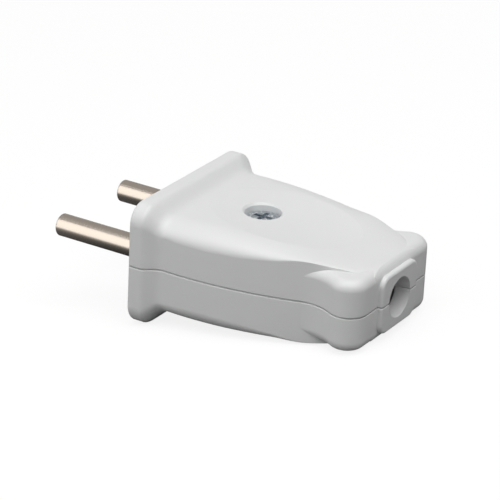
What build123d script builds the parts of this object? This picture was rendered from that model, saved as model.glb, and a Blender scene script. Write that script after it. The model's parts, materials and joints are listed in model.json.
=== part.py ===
from build123d import *
import os
from math import hypot, sqrt

# A rewirable two-pin plug: two moulded half shells, two round pins with pillar
# terminals, a cord clamp and one cover screw with its captive nut.
# Frame: millimetres, +Z up. The origin is the centre of the engagement face, midway
# between the pins. The pins point along -X and the cord comes in from +X.

# Contact pins
PIN_DIAMETER = 4.0
PIN_PITCH = 19.0
PIN_REACH = 19.0
PIN_TIP_LENGTH = 0.45
PIN_TIP_WIDTH = 0.6
PIN_NECK_DIAMETER = 3.4
PIN_MOUTH_DEPTH = 0.4
PIN_FIT = 0.05
COLLAR_DIAMETER = 6.4
COLLAR_LENGTH = 1.6
COLLAR_DEPTH = 2.4
PILLAR_DIAMETER = 5.8
PILLAR_LENGTH = 7.6
PILLAR_STANDOFF = 2.0
PILLAR_EDGE = 0.3
WIRE_HOLE_DIAMETER = 2.8
WIRE_HOLE_DEPTH = 5.6

# Terminal screws, one standing in each pillar
TERMINAL_SCREW_DIAMETER = 3.0
TERMINAL_HEAD_DIAMETER = 4.4
TERMINAL_HEAD_HEIGHT = 1.5
TERMINAL_SCREW_INSET = 3.4
TERMINAL_SEAT_CUT = 0.4
TERMINAL_SLOT_WIDTH = 0.7
TERMINAL_SLOT_DEPTH = 0.7
TERMINAL_TIP_BELOW_AXIS = 0.3

# Flange behind the engagement face, and the cove that runs from it into the body
FLANGE_WIDTH = 34.2
FLANGE_HEIGHT = 22.0
FLANGE_CORNER = 3.6
FLANGE_RIM = 2.4
FLANGE_EDGE = 0.6
COVE_LENGTH = 3.9
COVE_STEPS = 6

# Body block: each flank is one arc in plan, and from the side the top and bottom are one
# arc each
BODY_LENGTH = 42.2
BODY_STEPS = 12
FLANK_HALF_WIDTH = 15.37
FLANK_TOP_X = 8.5
FLANK_RADIUS = 71.0
CROWN_HALF_HEIGHT = 8.86
CROWN_TOP_X = 12.6
CROWN_RADIUS = 170.0
SHOULDER_ROUND_WIDTH = 4.9
SHOULDER_ROUND_HEIGHT = 3.1
SHOULDER_TOP_X = 13.0
NECK_ROUND_HEIGHT = 0.45
NECK_START_X = 31.0

# Ears at the cord end: a waist arc that runs into a round nose
NOSE_RADIUS = 3.5
NOSE_HALF_WIDTH = 13.2
WAIST_RADIUS = 7.5
WAIST_SINK = 0.02
EAR_ROOT_DEPTH = 3.0
EAR_HALF_HEIGHT = 6.42
EAR_EDGE = 1.8

# Pad round the cord entry
PAD_WIDTH = 12.0
PAD_HEIGHT = 10.4
PAD_CORNER = 2.0
PAD_RISE = 0.85
PAD_EDGE = 0.5
CORD_HOLE_DIAMETER = 7.2

# Shallow finger dish round the cover screw: a lengthwise hollow that meets the crown at two
# places, so that its edge is an oval
DISH_START_X = 6.8
DISH_END_X = 34.6
DISH_RADIUS = 84.0
DISH_RUN_OUT = 0.4

# Shell
WALL = 2.0
ROOF = 1.8
FRONT_WALL = 6.0
END_WALL = 2.0
SADDLE_INSET = 0.2
SADDLE_THICKNESS = 1.4
SADDLE_WALL = 1.3
PARTING_SETBACK = 0.12
PARTING_HEIGHT = 0.09

# Cover screw and captive nut
COVER_SCREW_X = 16.0
COVER_SCREW_DIAMETER = 3.0
COVER_SCREW_PAST_NUT = 0.4
COVER_HEAD_DIAMETER = 6.0
COVER_HEAD_HEIGHT = 2.0
COVER_HEAD_ROUND = 0.7
COVER_HEAD_SINK = 0.9
COVER_RECESS_SPAN = 3.4
COVER_RECESS_WIDTH = 0.8
COVER_RECESS_DEPTH = 1.2
COUNTERBORE_GAP = 0.22
COUNTERBORE_EDGE = 0.2
BOSS_WALL = 1.3
NUT_ACROSS_FLATS = 5.5
NUT_THICKNESS = 2.4
NUT_SINK = 1.4
SCREW_FIT = 0.05
NUT_FIT = 0.1

# Cord clamp: a strap over the cord, held down on its bed by two screws
CLAMP_WIDTH = 5.0
CLAMP_THICKNESS = 0.9
CLAMP_GRIP = 0.4
CLAMP_HEADROOM = 0.3
CLAMP_SIDE_ROOM = 0.8
CLAMP_BED_LENGTH = 6.0
CLAMP_BAY_LENGTH = 9.2
CLAMP_BAY_CORNER = 1.5
CLAMP_SCREW_DIAMETER = 2.5
CLAMP_SCREW_LENGTH = 4.2
CLAMP_HEAD_DIAMETER = 4.4
CLAMP_HEAD_HEIGHT = 1.6
CLAMP_HEAD_GAP = 0.3
CLAMP_SLOT_WIDTH = 0.7
CLAMP_SLOT_DEPTH = 0.7

# Places worked out from the sizes
SIDES = {"left": 1, "right": -1}
FAR = 100.0
COVE_END_X = FLANGE_RIM + COVE_LENGTH
PILLAR_X = FRONT_WALL + PILLAR_STANDOFF
PILLAR_END_X = PILLAR_X + PILLAR_LENGTH
TERMINAL_X = PILLAR_END_X - TERMINAL_SCREW_INSET
TERMINAL_SEAT_Z = PILLAR_DIAMETER / 2 - TERMINAL_SEAT_CUT
COUNTERBORE_DIAMETER = COVER_HEAD_DIAMETER + 2 * COUNTERBORE_GAP
ARCH_RADIUS = CORD_HOLE_DIAMETER / 2 - CLAMP_GRIP
ARCH_OUTER_RADIUS = ARCH_RADIUS + CLAMP_THICKNESS
CLAMP_SCREW_Y = ARCH_OUTER_RADIUS + CLAMP_HEAD_DIAMETER / 2 + CLAMP_HEAD_GAP
CLAMP_HALF_SPAN = CLAMP_SCREW_Y + CLAMP_HEAD_DIAMETER / 2
CLAMP_BAY_END_X = BODY_LENGTH - END_WALL
CLAMP_X = CLAMP_BAY_END_X - CLAMP_BAY_LENGTH / 2
CLAMP_BAY_HALF_HEIGHT = ARCH_OUTER_RADIUS + CLAMP_HEADROOM
CLAMP_BAY_HALF_WIDTH = CLAMP_HALF_SPAN + CLAMP_SIDE_ROOM
FLANK_CENTRE = (FLANK_TOP_X, FLANK_HALF_WIDTH - FLANK_RADIUS)
NOSE_CENTRE = (BODY_LENGTH - NOSE_RADIUS, NOSE_HALF_WIDTH - NOSE_RADIUS)


def section_plane(x):
    """The plane across the body at x, with its own X along +Y and its own Y along +Z."""
    return Plane(origin=(x, 0, 0), x_dir=(0, 1, 0), z_dir=(1, 0, 0))


def arc_drop(distance, radius):
    """How far an arc falls from its top over a distance along the tangent there."""
    return radius - sqrt(radius ** 2 - distance ** 2)


def block_half_width(x):
    return FLANK_HALF_WIDTH - arc_drop(x - FLANK_TOP_X, FLANK_RADIUS)


def crown_half_height(x):
    return CROWN_HALF_HEIGHT - arc_drop(x - CROWN_TOP_X, CROWN_RADIUS)


def shoulder_round(x):
    """Width and height of the long edges' rounds: full on the shoulder, shallow at the neck.

    A narrow neck makes them narrower, so that a flat as wide as a wall is left between them.
    """
    along = (x - SHOULDER_TOP_X) / (NECK_START_X - SHOULDER_TOP_X)
    fade = min(along ** 2, 1.0)
    width = min(SHOULDER_ROUND_WIDTH, block_half_width(x) - WALL / 2)
    return width, SHOULDER_ROUND_HEIGHT * (1 - fade) + NECK_ROUND_HEIGHT * fade


def body_outline(half_width, half_height, round_width, round_height):
    """A rectangle whose corners are quarter ellipses."""
    y = half_width - round_width
    z = half_height - round_height
    arcs = []
    for quarter, centre in enumerate([(y, z), (-y, z), (-y, -z), (y, -z)]):
        arcs.append(EllipticalCenterArc(centre, round_width, round_height, 90 * quarter, arc_size=90))
    outline = Curve()
    for arc, following in zip(arcs, arcs[1:] + arcs[:1]):
        outline += [arc, Line(arc @ 1, following @ 0)]
    return make_face(outline)


def block_section(x):
    return section_plane(x) * body_outline(block_half_width(x), crown_half_height(x), *shoulder_round(x))


def cove_section(share):
    """One section of the cove, soft at the rim and hollow below: share 0 is the flange, 1 the body."""
    keep = (1 - share) ** 3 * (1 + 3 * share)
    half_width = FLANGE_WIDTH / 2 * keep + block_half_width(COVE_END_X) * (1 - keep)
    half_height = FLANGE_HEIGHT / 2 * keep + crown_half_height(COVE_END_X) * (1 - keep)
    rounds = [FLANGE_CORNER * (1 - share) + size * share for size in shoulder_round(COVE_END_X)]
    x = FLANGE_RIM + COVE_LENGTH * share
    return section_plane(x) * body_outline(half_width, half_height, *rounds)


def make_flange():
    outline = body_outline(FLANGE_WIDTH / 2, FLANGE_HEIGHT / 2, FLANGE_CORNER, FLANGE_CORNER)
    rim = extrude(section_plane(0) * outline, FLANGE_RIM)
    return fillet(rim.faces().sort_by(Axis.X)[0].edges(), FLANGE_EDGE)


def make_block():
    """The cove and the tapered block, each lofted through its own sections."""
    cove = loft([cove_section(step / COVE_STEPS) for step in range(COVE_STEPS + 1)])
    step_length = (BODY_LENGTH - COVE_END_X) / BODY_STEPS
    block = loft([block_section(COVE_END_X + step_length * step) for step in range(BODY_STEPS + 1)])
    for up in (1, -1):
        block -= make_end_cut(up)
    return cove + block


def make_end_cut(up):
    """What is cut from the top or bottom edge of the block's cord end to round it."""
    start_x = BODY_LENGTH - EAR_EDGE
    centre_z = crown_half_height(start_x) - EAR_EDGE
    corner = brick((start_x, FAR), (-FAR, FAR), sorted((up * centre_z, up * FAR)))
    axis = Plane(origin=(start_x, 0, up * centre_z), x_dir=(1, 0, 0), z_dir=(0, -1, 0))
    return corner - axis * Cylinder(EAR_EDGE, 2 * FAR)


def unit(dx, dy):
    return dx / hypot(dx, dy), dy / hypot(dx, dy)


def point_from(centre, direction, distance):
    return centre[0] + direction[0] * distance, centre[1] + direction[1] * distance


def arc_about(centre, radius, start, end):
    """The short arc about a centre from start to end."""
    middle = unit(start[0] + end[0] - 2 * centre[0], start[1] + end[1] - 2 * centre[1])
    return ThreePointArc(start, point_from(centre, middle, radius), end)


def waist_centre():
    """Centre of the waist arc, which touches the flank arc and the nose from outside."""
    to_flank = FLANK_RADIUS + WAIST_RADIUS - WAIST_SINK
    to_nose = NOSE_RADIUS + WAIST_RADIUS
    dx = NOSE_CENTRE[0] - FLANK_CENTRE[0]
    dy = NOSE_CENTRE[1] - FLANK_CENTRE[1]
    span = hypot(dx, dy)
    along = (to_flank ** 2 - to_nose ** 2 + span ** 2) / (2 * span)
    aside = sqrt(to_flank ** 2 - along ** 2)
    ux, uy = unit(dx, dy)
    return FLANK_CENTRE[0] + along * ux - aside * uy, FLANK_CENTRE[1] + along * uy + aside * ux


def ear_root():
    """Where the waist arc lies deepest in the flank."""
    waist = waist_centre()
    inwards = unit(FLANK_CENTRE[0] - waist[0], FLANK_CENTRE[1] - waist[1])
    return point_from(waist, inwards, WAIST_RADIUS)


def make_ears():
    waist = waist_centre()
    root = ear_root()
    meet = point_from(NOSE_CENTRE, unit(waist[0] - NOSE_CENTRE[0], waist[1] - NOSE_CENTRE[1]), NOSE_RADIUS)
    tip = (BODY_LENGTH, NOSE_CENTRE[1])
    inner = (root[0], root[1] - EAR_ROOT_DEPTH)
    half = Line((inner[0], 0), inner) + Line(inner, root)
    half += arc_about(waist, WAIST_RADIUS, root, meet)
    half += arc_about(NOSE_CENTRE, NOSE_RADIUS, meet, tip)
    half += Line(tip, (tip[0], 0))
    slab = extrude(make_face(half + mirror(half, Plane.XZ)), EAR_HALF_HEIGHT, both=True)
    rims = slab.edges().group_by(Axis.Z)
    outer = (rims[0] + rims[-1]).filter_by(lambda edge: edge.center().X > root[0] + EAR_EDGE)
    return fillet(outer, EAR_EDGE)


def make_pad():
    outline = section_plane(BODY_LENGTH - PAD_RISE) * RectangleRounded(PAD_WIDTH, PAD_HEIGHT, PAD_CORNER)
    pad = extrude(outline, 2 * PAD_RISE)
    return fillet(pad.faces().sort_by(Axis.X)[-1].edges(), PAD_EDGE)


def dish_z(x):
    """Height of the dish's lowest line, which is the chord of the crown between the dish's ends."""
    start_z = crown_half_height(DISH_START_X)
    fall = (start_z - crown_half_height(DISH_END_X)) / (DISH_END_X - DISH_START_X)
    return start_z - fall * (x - DISH_START_X)


def make_dish():
    """A round bar that lies on the dish's lowest line and runs out a little past both its ends."""
    run = DISH_END_X - DISH_START_X
    rise = dish_z(DISH_END_X) - dish_z(DISH_START_X)
    up = unit(-rise, run)
    middle_x = (DISH_START_X + DISH_END_X) / 2
    centre = (middle_x + DISH_RADIUS * up[0], 0, dish_z(middle_x) + DISH_RADIUS * up[1])
    return Plane(origin=centre, z_dir=(run, 0, rise)) * Cylinder(DISH_RADIUS, run + 2 * DISH_RUN_OUT)


def make_envelope():
    """The outside of the closed plug, both halves together."""
    return make_flange() + (make_block() - make_dish()) + make_ears() + make_pad()


def rod(diameter, start_x, end_x, y=0.0):
    """A round bar along X."""
    return extrude(Plane(origin=(start_x, y, 0), z_dir=(1, 0, 0)) * Circle(diameter / 2), end_x - start_x)


def post(diameter, bottom_z, top_z, x, y=0.0):
    """A round bar along Z."""
    return extrude(Plane(origin=(x, y, bottom_z)) * Circle(diameter / 2), top_z - bottom_z)


def brick(x_range, y_range, z_range):
    """A box given by its limits."""
    sizes = [limits[1] - limits[0] for limits in (x_range, y_range, z_range)]
    centre = [(limits[0] + limits[1]) / 2 for limits in (x_range, y_range, z_range)]
    return Pos(*centre) * Box(*sizes)


def make_chamber():
    """The wiring chamber between the flanks and, behind it, the lower bay of the cord clamp."""
    end_x = ear_root()[0]
    inner_radius = FLANK_RADIUS - WALL
    corners = []
    for x in (FRONT_WALL, end_x):
        y = FLANK_CENTRE[1] + sqrt(inner_radius ** 2 - (x - FLANK_TOP_X) ** 2)
        corners.append((x, y))
    half = Line((FRONT_WALL, 0), corners[0]) + arc_about(FLANK_CENTRE, inner_radius, *corners)
    half += Line(corners[1], (end_x, 0))
    room = extrude(make_face(half + mirror(half, Plane.XZ)), crown_half_height(end_x) - ROOF, both=True)
    bay_plan = RectangleRounded(CLAMP_BAY_LENGTH, 2 * CLAMP_BAY_HALF_WIDTH, CLAMP_BAY_CORNER)
    return room + extrude(Pos(CLAMP_X, 0) * bay_plan, CLAMP_BAY_HALF_HEIGHT, both=True)


def make_saddles():
    """Cross ribs that carry the pillars just behind the front wall."""
    reach = PILLAR_DIAMETER / 2 + SADDLE_WALL
    start_x = PILLAR_X + SADDLE_INSET
    ribs = Part()
    for side in SIDES.values():
        y = side * PIN_PITCH / 2
        ribs += brick((start_x, start_x + SADDLE_THICKNESS), (y - reach, y + reach), (-FAR, FAR))
    return ribs


def make_pin_room():
    """Everything cut out of the shell for the pins, their collars and pillars."""
    room = Part()
    for side in SIDES.values():
        y = side * PIN_PITCH / 2
        collar_end_x = COLLAR_DEPTH + COLLAR_LENGTH
        room += rod(PIN_DIAMETER + 2 * PIN_FIT, -FAR, PIN_MOUTH_DEPTH, y)
        room += rod(PIN_NECK_DIAMETER + 2 * PIN_FIT, 0, PILLAR_X, y)
        room += rod(COLLAR_DIAMETER + 2 * PIN_FIT, COLLAR_DEPTH - PIN_FIT, collar_end_x + PIN_FIT, y)
        room += rod(PILLAR_DIAMETER + 2 * PIN_FIT, PILLAR_X - PIN_FIT, PILLAR_END_X + PIN_FIT, y)
    return room


def make_clamp_bed():
    """The cross wall under the cord, with a blind hole for each clamp screw."""
    half_length = CLAMP_BED_LENGTH / 2
    bed = brick((CLAMP_X - half_length, CLAMP_X + half_length), (-FAR, FAR), (-FAR, 0))
    for side in SIDES.values():
        depth = CLAMP_SCREW_LENGTH - CLAMP_THICKNESS + SCREW_FIT
        bed -= post(CLAMP_SCREW_DIAMETER + 2 * SCREW_FIT, -depth, 0, CLAMP_X, side * CLAMP_SCREW_Y)
    return bed


def counterbore_z():
    """Floor of the counterbore, where the cover screw's head sits."""
    return dish_z(COVER_SCREW_X) - COVER_HEAD_SINK - COVER_HEAD_HEIGHT


def make_counterbore():
    """The hole for the cover screw's head, with a broken edge at the top."""
    radius = COUNTERBORE_DIAMETER / 2
    edge = Cone(radius, radius + 2 * COUNTERBORE_EDGE, 2 * COUNTERBORE_EDGE)
    bore = post(COUNTERBORE_DIAMETER, counterbore_z(), FAR, COVER_SCREW_X)
    return bore + Pos(COVER_SCREW_X, 0, dish_z(COVER_SCREW_X)) * edge


def nut_seat_z():
    return NUT_SINK + NUT_THICKNESS - crown_half_height(COVER_SCREW_X)


def hexagon_prism(across_flats, bottom_z, top_z):
    plane = Plane(origin=(COVER_SCREW_X, 0, bottom_z))
    return extrude(plane * RegularPolygon(across_flats / 2, 6, major_radius=False), top_z - bottom_z)


def set_back_parting_edge(half):
    """Cuts back the outer edge of the parting face, so that the joint reads as a fine line."""
    face = half.faces().sort_by(lambda face: abs(face.center().Z))[0]
    middle_x = (BODY_LENGTH + PAD_RISE) / 2
    shares = (1 - PARTING_SETBACK / middle_x, 1 - 2 * PARTING_SETBACK / FLANGE_WIDTH, 1)
    inset = Pos(middle_x, 0) * scale(Pos(-middle_x, 0) * face, shares)
    slab = brick((-FAR, FAR), (-FAR, FAR), (-PARTING_HEIGHT, PARTING_HEIGHT))
    return half - (slab - extrude(inset, PARTING_HEIGHT, both=True))


def make_shells():
    """The two halves, parted on the plane through the pin axes."""
    envelope = make_envelope()
    upper_space = brick((-FAR, FAR), (-FAR, FAR), (0, FAR))
    lower_space = brick((-FAR, FAR), (-FAR, FAR), (-FAR, 0))
    upper = set_back_parting_edge(envelope & upper_space)
    lower = set_back_parting_edge(envelope & lower_space)
    boss_diameter = COUNTERBORE_DIAMETER + 2 * BOSS_WALL
    hollow = make_chamber() - post(boss_diameter, -FAR, FAR, COVER_SCREW_X) - make_saddles()
    shared = make_pin_room() + rod(CORD_HOLE_DIAMETER, CLAMP_X - CLAMP_BED_LENGTH, FAR)
    shared += post(COVER_SCREW_DIAMETER + 2 * SCREW_FIT, -FAR, FAR, COVER_SCREW_X)
    upper -= hollow + shared + make_counterbore()
    lower -= (hollow - make_clamp_bed()) + shared
    lower -= hexagon_prism(NUT_ACROSS_FLATS + 2 * NUT_FIT, -FAR, nut_seat_z())
    return {"upper_cover": upper, "lower_base": lower}


def make_contact_pin(side):
    """A turned pin: round tip, neck, locating collar, and a pillar drilled for wire and screw."""
    radius = PIN_DIAMETER / 2
    neck_radius = PIN_NECK_DIAMETER / 2
    collar_radius = COLLAR_DIAMETER / 2
    collar_end_x = COLLAR_DEPTH + COLLAR_LENGTH
    pillar_radius = PILLAR_DIAMETER / 2
    tip_centre = (PIN_TIP_LENGTH - PIN_REACH, radius - PIN_TIP_WIDTH)
    tip = EllipticalCenterArc(tip_centre, PIN_TIP_LENGTH, PIN_TIP_WIDTH, 90, arc_size=90)
    profile = tip + Polyline(
        tip @ 0,
        (0, radius),
        (0, neck_radius),
        (COLLAR_DEPTH, neck_radius),
        (COLLAR_DEPTH, collar_radius),
        (collar_end_x, collar_radius),
        (collar_end_x, neck_radius),
        (PILLAR_X, neck_radius),
        (PILLAR_X, pillar_radius),
        (PILLAR_END_X, pillar_radius),
        (PILLAR_END_X, 0),
        (-PIN_REACH, 0),
        tip @ 1,
    )
    pin = revolve(make_face(profile), Axis.X)
    pin = chamfer(pin.edges().filter_by(GeomType.CIRCLE).sort_by(Axis.X)[-1], PILLAR_EDGE)
    pin -= rod(WIRE_HOLE_DIAMETER, PILLAR_END_X - WIRE_HOLE_DEPTH, PILLAR_END_X)
    tip_z = -TERMINAL_TIP_BELOW_AXIS - SCREW_FIT
    pin -= post(TERMINAL_SCREW_DIAMETER + 2 * SCREW_FIT, tip_z, FAR, TERMINAL_X)
    pin -= post(TERMINAL_HEAD_DIAMETER + 2 * SCREW_FIT, TERMINAL_SEAT_Z, FAR, TERMINAL_X)
    return Pos(0, side * PIN_PITCH / 2, 0) * pin


def make_slotted_screw(shank_diameter, shank_length, head_diameter, head_height, slot_width, slot_depth):
    """A cheese-head screw with the underside of its head at z = 0."""
    screw = post(shank_diameter, -shank_length, 0, 0) + post(head_diameter, 0, head_height, 0)
    slot_z = (head_height - slot_depth, FAR)
    return screw - brick((-head_diameter, head_diameter), (-slot_width / 2, slot_width / 2), slot_z)


def make_terminal_screw(side):
    screw = make_slotted_screw(
        TERMINAL_SCREW_DIAMETER,
        TERMINAL_SEAT_Z + TERMINAL_TIP_BELOW_AXIS,
        TERMINAL_HEAD_DIAMETER,
        TERMINAL_HEAD_HEIGHT,
        TERMINAL_SLOT_WIDTH,
        TERMINAL_SLOT_DEPTH,
    )
    return Pos(TERMINAL_X, side * PIN_PITCH / 2, TERMINAL_SEAT_Z) * screw


def make_clamp_screw(side):
    screw = make_slotted_screw(
        CLAMP_SCREW_DIAMETER,
        CLAMP_SCREW_LENGTH,
        CLAMP_HEAD_DIAMETER,
        CLAMP_HEAD_HEIGHT,
        CLAMP_SLOT_WIDTH,
        CLAMP_SLOT_DEPTH,
    )
    return Pos(CLAMP_X, side * CLAMP_SCREW_Y, CLAMP_THICKNESS) * screw


def make_cord_clamp():
    """A bent strap: two flat feet and an arch over the cord."""
    feet = Pos(0, CLAMP_THICKNESS / 2) * Rectangle(2 * CLAMP_HALF_SPAN, CLAMP_THICKNESS)
    above = Pos(0, FAR / 2) * Rectangle(FAR, FAR)
    section = (feet + Circle(ARCH_OUTER_RADIUS) - Circle(ARCH_RADIUS)) & above
    strap = extrude(section_plane(CLAMP_X - CLAMP_WIDTH / 2) * section, CLAMP_WIDTH)
    for side in SIDES.values():
        strap -= post(CLAMP_SCREW_DIAMETER + 2 * SCREW_FIT, -FAR, FAR, CLAMP_X, side * CLAMP_SCREW_Y)
    return strap


def make_cover_screw():
    """A pan-head screw with a cross recess, from the counterbore to just past the nut."""
    head_top_z = counterbore_z() + COVER_HEAD_HEIGHT
    head = post(COVER_HEAD_DIAMETER, counterbore_z(), head_top_z, COVER_SCREW_X)
    head = fillet(head.faces().sort_by(Axis.Z)[-1].edges(), COVER_HEAD_ROUND)
    tip_z = nut_seat_z() - NUT_THICKNESS - COVER_SCREW_PAST_NUT
    screw = head + post(COVER_SCREW_DIAMETER, tip_z, counterbore_z(), COVER_SCREW_X)
    for sizes in ((COVER_RECESS_SPAN, COVER_RECESS_WIDTH), (COVER_RECESS_WIDTH, COVER_RECESS_SPAN)):
        screw -= Pos(COVER_SCREW_X, 0, head_top_z) * Box(*sizes, 2 * COVER_RECESS_DEPTH)
    return screw


def make_cover_nut():
    nut = hexagon_prism(NUT_ACROSS_FLATS, nut_seat_z() - NUT_THICKNESS, nut_seat_z())
    return nut - post(COVER_SCREW_DIAMETER + 2 * SCREW_FIT, -FAR, FAR, COVER_SCREW_X)


def make_parts():
    parts = make_shells()
    for name, side in SIDES.items():
        parts["contact_pin_" + name] = make_contact_pin(side)
        parts["terminal_screw_" + name] = make_terminal_screw(side)
        parts["clamp_screw_" + name] = make_clamp_screw(side)
    parts["cord_clamp"] = make_cord_clamp()
    parts["cover_screw"] = make_cover_screw()
    parts["cover_nut"] = make_cover_nut()
    return parts


def main():
    os.makedirs("parts", exist_ok=True)
    for name, part in make_parts().items():
        export_step(part, "parts/" + name + ".step")


if __name__ == "__main__":
    main()
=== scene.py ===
import json
import math

import bpy
from mathutils import Matrix, Vector

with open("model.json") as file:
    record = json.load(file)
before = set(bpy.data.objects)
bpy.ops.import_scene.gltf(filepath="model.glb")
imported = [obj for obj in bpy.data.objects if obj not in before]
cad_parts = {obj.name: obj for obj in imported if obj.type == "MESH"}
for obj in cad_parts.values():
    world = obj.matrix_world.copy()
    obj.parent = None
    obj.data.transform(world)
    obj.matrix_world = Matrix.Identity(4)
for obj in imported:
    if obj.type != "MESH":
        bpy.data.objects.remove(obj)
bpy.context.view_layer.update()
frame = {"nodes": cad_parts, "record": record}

MM = 0.001

# Viewing angle: turned to the cord end, seen from above, with the frame tipped a little
VIEW_TURN = math.radians(30.433)
VIEW_RISE = math.radians(24.128)
VIEW_ROLL = math.radians(2.799)
VIEW_DISTANCE = 482.2 * MM
VIEW_CENTRE = Vector((13.754, 0.0, 0.554)) * MM
LENS = 202.87
SENSOR_WIDTH = 36.0

# Colours of the finishes
WHITE = (1.0, 1.0, 1.0)
PLASTIC_WHITE = (0.735, 0.742, 0.738)
PLASTIC_SHADE = (0.700, 0.706, 0.702)
NICKEL_LIGHT = (0.800, 0.705, 0.610)
NICKEL_DARK = (0.680, 0.595, 0.510)
ZINC_LIGHT = (0.930, 0.950, 0.970)
ZINC_DARK = (0.440, 0.490, 0.540)
STEEL_LIGHT = (0.640, 0.640, 0.635)
STEEL_DARK = (0.430, 0.430, 0.430)
BRASS_LIGHT = (0.780, 0.620, 0.320)
BRASS_DARK = (0.560, 0.420, 0.190)

# Roughness of the finishes where they are smoothest
PLASTIC_ROUGHNESS = 0.33
NICKEL_ROUGHNESS = 0.16
ZINC_ROUGHNESS = 0.27
STEEL_ROUGHNESS = 0.3
BRASS_ROUGHNESS = 0.25

# Moulding: flow clouds, streaks that run along the plug, grain, and eased edges at the parting
FLOW_SIZE = 9 * MM
STREAK_SIZE = 1.4 * MM
STREAK_STRETCH = (0.12, 1.0, 1.0)
STREAK_HEIGHT = 0.006 * MM
GRAIN_SIZE = 0.35 * MM
GRAIN_HEIGHT = 0.0025 * MM
PARTING_ROUND = 0.3 * MM

# Drawn and turned metals: fine lines, stretched along the way each was worked, and clouds
LINE_SIZE = 1 * MM
LINE_HEIGHT = 0.001 * MM
LINE_ROUGHNESS = 0.16
TARNISH_SIZE = 3 * MM
PIN_STRETCH = (0.03, 3.0, 3.0)
STRAP_STRETCH = (3.0, 0.1, 0.1)
NUT_STRETCH = (1.0, 1.0, 0.1)

# Zinc plating: lumps, the heights between which a lump turns into a painted glint (a bright speck in the
# colour), and clouds
LUMP_SIZE = 0.45 * MM
LUMP_HEIGHT = 0.015 * MM
PAINTED_GLINT_START = 0.56
PAINTED_GLINT_FULL = 0.64
BLOOM_SIZE = 0.8 * MM

# The floor: its share of plain white, its colour to bounced light, and a painted shade round the plug that
# only the metal mirrors, with its reach
FLOOR_SIZE = 4.0
FLOOR_GLOW = 0.85
FLOOR_BOUNCE = (0.22, 0.22, 0.22)
PAINTED_FLOOR_SHADE = (0.03, 0.03, 0.03)
PAINTED_SHADE_REACH = 125 * MM

# Finding the floor: how near the lowest point the flange's edge is taken, and how far behind that
# edge the body's underside is looked for
EDGE_BAND = 0.01 * MM
BEHIND_EDGE = 10 * MM

# The sky: its brightness as light on the plug, and where the metal mirrors it
SKY_LIGHT = 0.1
SKY_MIRRORED = 0.35


class Value:
    """A number that changes over a surface, used in sums as a plain number is."""

    def __init__(self, finish, socket):
        self.finish = finish
        self.socket = socket

    def _sum(self, operation, first, second):
        return self.finish.add("ShaderNodeMath", {"operation": operation}, {0: first, 1: second})

    def __add__(self, other):
        return self._sum("ADD", self, other)

    __radd__ = __add__

    def __sub__(self, other):
        return self._sum("SUBTRACT", self, other)

    def __rsub__(self, other):
        return self._sum("SUBTRACT", other, self)

    def __mul__(self, other):
        return self._sum("MULTIPLY", self, other)

    __rmul__ = __mul__

    def __pow__(self, other):
        return self._sum("POWER", self, other)

    def __abs__(self):
        return self.finish.add("ShaderNodeMath", {"operation": "ABSOLUTE"}, {0: self})

    def rise(self, start, full):
        """None at the start value and one at the full value, with a straight slope between."""
        sockets = {"Value": self, "From Min": start, "From Max": full}
        return self.finish.add("ShaderNodeMapRange", sockets=sockets)


class Finish:
    """A material or world tree, built node by node."""

    def __init__(self, tree):
        self.tree = tree
        tree.nodes.clear()

    def add(self, kind, settings=None, sockets=None, out=0):
        """One node: its settings are set first, then the values or links of its sockets."""
        node = self.tree.nodes.new(kind)
        for name, setting in (settings or {}).items():
            setattr(node, name, setting)
        for name, given in (sockets or {}).items():
            socket = node.inputs[name]
            if isinstance(given, Value):
                self.tree.links.new(given.socket, socket)
            elif socket.type == "RGBA":
                socket.default_value = (*given, 1.0)
            else:
                socket.default_value = given
        return Value(self, node.outputs[out]) if len(node.outputs) else node

    def place(self):
        """The point on the piece, in metres from the frame's origin."""
        return self.add("ShaderNodeTexCoord", out="Object")

    def height(self):
        """How far the point lies above the parting plane."""
        return self.add("ShaderNodeSeparateXYZ", sockets={"Vector": self.place()}, out="Z")

    def noise(self, size, detail, roughness=0.5, stretch=(1.0, 1.0, 1.0)):
        """Noise with patches of about the given size, longer along an axis with a smaller stretch."""
        place = self.add("ShaderNodeMapping", sockets={"Vector": self.place(), "Scale": stretch})
        sockets = {"Vector": place, "Scale": 1.0 / size, "Detail": detail, "Roughness": roughness}
        return self.add("ShaderNodeTexNoise", sockets=sockets)

    def near(self, reach):
        """One at the piece's own origin, falling to none at the given distance."""
        sockets = {"Vector": self.place(), "Scale": (1.0 / reach, 1.0 / reach, 1.0 / reach)}
        place = self.add("ShaderNodeMapping", sockets=sockets)
        settings = {"gradient_type": "SPHERICAL"}
        return self.add("ShaderNodeTexGradient", settings, {"Vector": place}, out="Fac")

    def blend(self, share, first, second):
        """A colour between two, by their numbered sockets because those share one name."""
        settings = {"data_type": "RGBA", "clamp_factor": True}
        return self.add("ShaderNodeMix", settings, {0: share, 6: first, 7: second}, out=2)

    def bump(self, relief):
        """The slope of a relief that is given in metres."""
        return self.add("ShaderNodeBump", sockets={"Height": relief, "Strength": 1.0, "Distance": 1.0})

    def matt(self, colour):
        return self.add("ShaderNodeBsdfDiffuse", sockets={"Color": colour})

    def mix(self, share, first, second):
        return self.add("ShaderNodeMixShader", sockets={0: share, 1: first, 2: second})

    def camera_rays(self):
        """One for what the camera sees straight, and none for other light."""
        return self.add("ShaderNodeLightPath", out="Is Camera Ray")

    def mirror_rays(self):
        """One for light seen in a mirror or through glass, and none for other light."""
        glossy = self.add("ShaderNodeLightPath", out="Is Glossy Ray")
        return glossy + self.add("ShaderNodeLightPath", out="Is Transmission Ray")

    def surface(self, sockets):
        shader = self.add("ShaderNodeBsdfPrincipled", sockets=sockets)
        self.add("ShaderNodeOutputMaterial", sockets={"Surface": shader})


def new_finish(name):
    material = bpy.data.materials.new(name)
    material.use_nodes = True
    return material, Finish(material.node_tree)


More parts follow.
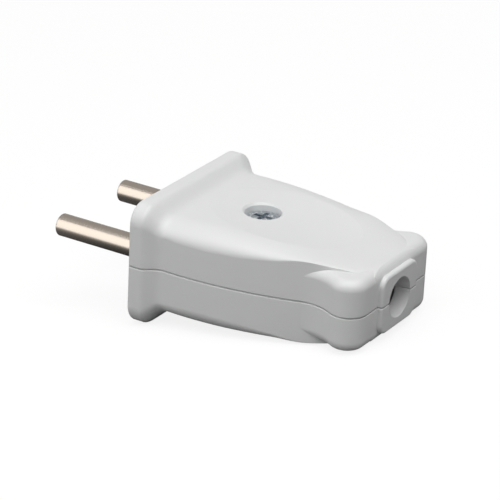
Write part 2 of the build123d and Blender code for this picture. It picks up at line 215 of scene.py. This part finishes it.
def moulded_plastic():
    """Off-white moulding: a soft sheen, grain, polishing streaks, flow clouds, eased parting edges."""
    material, finish = new_finish("moulded_plastic")
    flow = finish.noise(FLOW_SIZE, detail=2.0)
    streaks = finish.noise(STREAK_SIZE, detail=2.0, stretch=STREAK_STRETCH)
    grain = finish.noise(GRAIN_SIZE, detail=2.0)
    parting = abs(finish.height()).rise(PARTING_ROUND, 0.0)
    relief = grain * GRAIN_HEIGHT + streaks * STREAK_HEIGHT
    relief -= parting * parting * (PARTING_ROUND / 2)
    finish.surface({
        "Base Color": finish.blend(flow * 0.6 + streaks * 0.2 + grain * 0.2, PLASTIC_SHADE, PLASTIC_WHITE),
        "Roughness": flow * 0.08 + grain * 0.06 + PLASTIC_ROUGHNESS,
        "Normal": finish.bump(relief),
    })
    return material


def drawn_metal(name, light, dark, stretch, roughness):
    """Plated or bare metal with fine lines along the way it was drawn or turned."""
    material, finish = new_finish(name)
    lines = finish.noise(LINE_SIZE, detail=4.0, roughness=0.6, stretch=stretch)
    tarnish = finish.noise(TARNISH_SIZE, detail=2.0)
    finish.surface({
        "Base Color": finish.blend(lines * 0.7 + tarnish * 0.3, dark, light),
        "Metallic": 1.0,
        "Roughness": lines * LINE_ROUGHNESS + roughness,
        "Normal": finish.bump(lines * LINE_HEIGHT),
    })
    return material


def zinc_plate():
    """Bluish plating, as on a cheap bulk screw, with glints painted into its colour as bright specks."""
    material, finish = new_finish("zinc_plate")
    bloom = finish.noise(BLOOM_SIZE, detail=2.0)
    lumps = finish.noise(LUMP_SIZE, detail=1.0)
    # Painted glints: where a lump rises past a height, the colour turns bright as if it caught the light
    painted_glints = lumps.rise(PAINTED_GLINT_START, PAINTED_GLINT_FULL)
    finish.surface({
        "Base Color": finish.blend(painted_glints + bloom * 0.35, ZINC_DARK, ZINC_LIGHT),
        "Metallic": 1.0,
        "Roughness": painted_glints * 0.2 + bloom * 0.1 + ZINC_ROUGHNESS,
        "Normal": finish.bump(lumps * LUMP_HEIGHT),
    })
    return material


def dress_nodes():
    """Gives every piece the finish of its slot."""
    dress = {
        "shell": moulded_plastic(),
        "contact": drawn_metal("nickel_plate", NICKEL_LIGHT, NICKEL_DARK, PIN_STRETCH, NICKEL_ROUGHNESS),
        "plated_screw": zinc_plate(),
        "clamp_strap": drawn_metal("bent_strip", STEEL_LIGHT, STEEL_DARK, STRAP_STRETCH, STEEL_ROUGHNESS),
        "nut": drawn_metal("turned_brass", BRASS_LIGHT, BRASS_DARK, NUT_STRETCH, BRASS_ROUGHNESS),
    }
    for subpart in frame["record"]["subparts"]:
        slots = frame["nodes"][subpart["node"]].data.materials
        slots.clear()
        slots.append(dress[subpart["material_slot"]])


def white_floor():
    """White to the camera and, away from the plug, in mirrors; a painted dark shade close round the plug in
    mirrors; duller as a source of bounced light.
    """
    material, finish = new_finish("white_floor")
    glow = finish.add("ShaderNodeEmission", sockets={"Color": WHITE, "Strength": 1.0})
    shown = finish.mix(FLOOR_GLOW, finish.matt(WHITE), glow)
    # Painted shade: mirrors see a dark colour close round the plug, fading to the white floor with distance
    mirrored = finish.mix((1.0 - finish.near(PAINTED_SHADE_REACH)) ** 2.0, finish.matt(PAINTED_FLOOR_SHADE), shown)
    unseen = finish.mix(finish.mirror_rays(), finish.matt(FLOOR_BOUNCE), mirrored)
    surface = finish.mix(finish.camera_rays(), unseen, shown)
    finish.add("ShaderNodeOutputMaterial", sockets={"Surface": surface})
    return material


def floor_level():
    """Where the plug rests: the flange's lower edge and the slope from it to the body's underside."""
    corners = [vertex.co for vertex in frame["nodes"]["lower_base"].data.vertices]
    low = min(corner.z for corner in corners)
    edge_x = max(corner.x for corner in corners if corner.z < low + EDGE_BAND)
    behind = [corner for corner in corners if corner.x > edge_x + BEHIND_EDGE]
    slope = min((corner.z - low) / (corner.x - edge_x) for corner in behind)
    return edge_x, low, slope


def lay_floor():
    edge_x, low, slope = floor_level()
    bpy.ops.object.select_all(action="DESELECT")
    tilt = (0, -math.atan(slope), 0)
    bpy.ops.mesh.primitive_plane_add(size=FLOOR_SIZE, location=(edge_x, 0, low), rotation=tilt)
    floor = bpy.context.object
    floor.name = "floor"
    floor.data.materials.append(white_floor())


def hang_softbox(name, direction, distance, size, brightness, mirrored=True):
    """A soft lamp that looks at the plug's middle; one that isn't mirrored adds light but no sheen."""
    lamp = bpy.data.lights.new(name, "AREA")
    lamp.shape = "RECTANGLE"
    lamp.size, lamp.size_y = size
    lamp.energy = brightness * math.pi * lamp.size * lamp.size_y
    holder = bpy.data.objects.new(name, lamp)
    bpy.context.scene.collection.objects.link(holder)
    towards = Vector(direction).normalized()
    holder.location = VIEW_CENTRE + towards * distance
    holder.rotation_euler = towards.to_track_quat("Z", "Y").to_euler()
    holder.visible_glossy = mirrored


def hang_lamps():
    hang_softbox(
        "overhead_softbox",
        direction=(0.25, -0.17, 0.96),
        distance=0.6,
        size=(0.75, 0.75),
        brightness=2.55,
    )
    hang_softbox(
        "side_softbox",
        direction=(-0.46, -0.79, 0.42),
        distance=0.5,
        size=(0.45, 0.6),
        brightness=1.05,
    )
    hang_softbox(
        "front_softbox",
        direction=(-0.95, -0.20, 0.25),
        distance=0.5,
        size=(0.3, 0.3),
        brightness=0.9,
    )
    hang_softbox(
        "far_softbox",
        direction=(-0.50, 0.85, 0.16),
        distance=0.5,
        size=(0.4, 0.3),
        brightness=1.2,
        mirrored=False,
    )


def set_sky():
    """White to the camera, grey where metal mirrors it, and dim as light on the plug."""
    world = bpy.data.worlds.new("studio")
    world.use_nodes = True
    bpy.context.scene.world = world
    finish = Finish(world.node_tree)
    dim, grey, white = (
        finish.add("ShaderNodeBackground", sockets={"Color": WHITE, "Strength": strength})
        for strength in (SKY_LIGHT, SKY_MIRRORED, 1.0)
    )
    unseen = finish.mix(finish.mirror_rays(), dim, grey)
    finish.add("ShaderNodeOutputWorld", sockets={"Surface": finish.mix(finish.camera_rays(), unseen, white)})


def set_camera():
    reach = math.cos(VIEW_RISE)
    back = Vector((math.sin(VIEW_TURN) * reach, -math.cos(VIEW_TURN) * reach, math.sin(VIEW_RISE)))
    level = Vector((math.cos(VIEW_TURN), math.sin(VIEW_TURN), 0.0))
    upright = back.cross(level)
    right = level * math.cos(VIEW_ROLL) + upright * math.sin(VIEW_ROLL)
    up = upright * math.cos(VIEW_ROLL) - level * math.sin(VIEW_ROLL)
    data = bpy.data.cameras.new("camera")
    data.sensor_width = SENSOR_WIDTH
    data.lens = LENS
    camera = bpy.data.objects.new("camera", data)
    bpy.context.scene.collection.objects.link(camera)
    place = Matrix((right, up, back)).transposed().to_4x4()
    place.translation = VIEW_CENTRE + back * VIEW_DISTANCE
    camera.matrix_world = place
    bpy.context.scene.camera = camera


def main():
    dress_nodes()
    lay_floor()
    hang_lamps()
    set_sky()
    set_camera()
    bpy.context.scene.view_settings.view_transform = "Standard"


main()
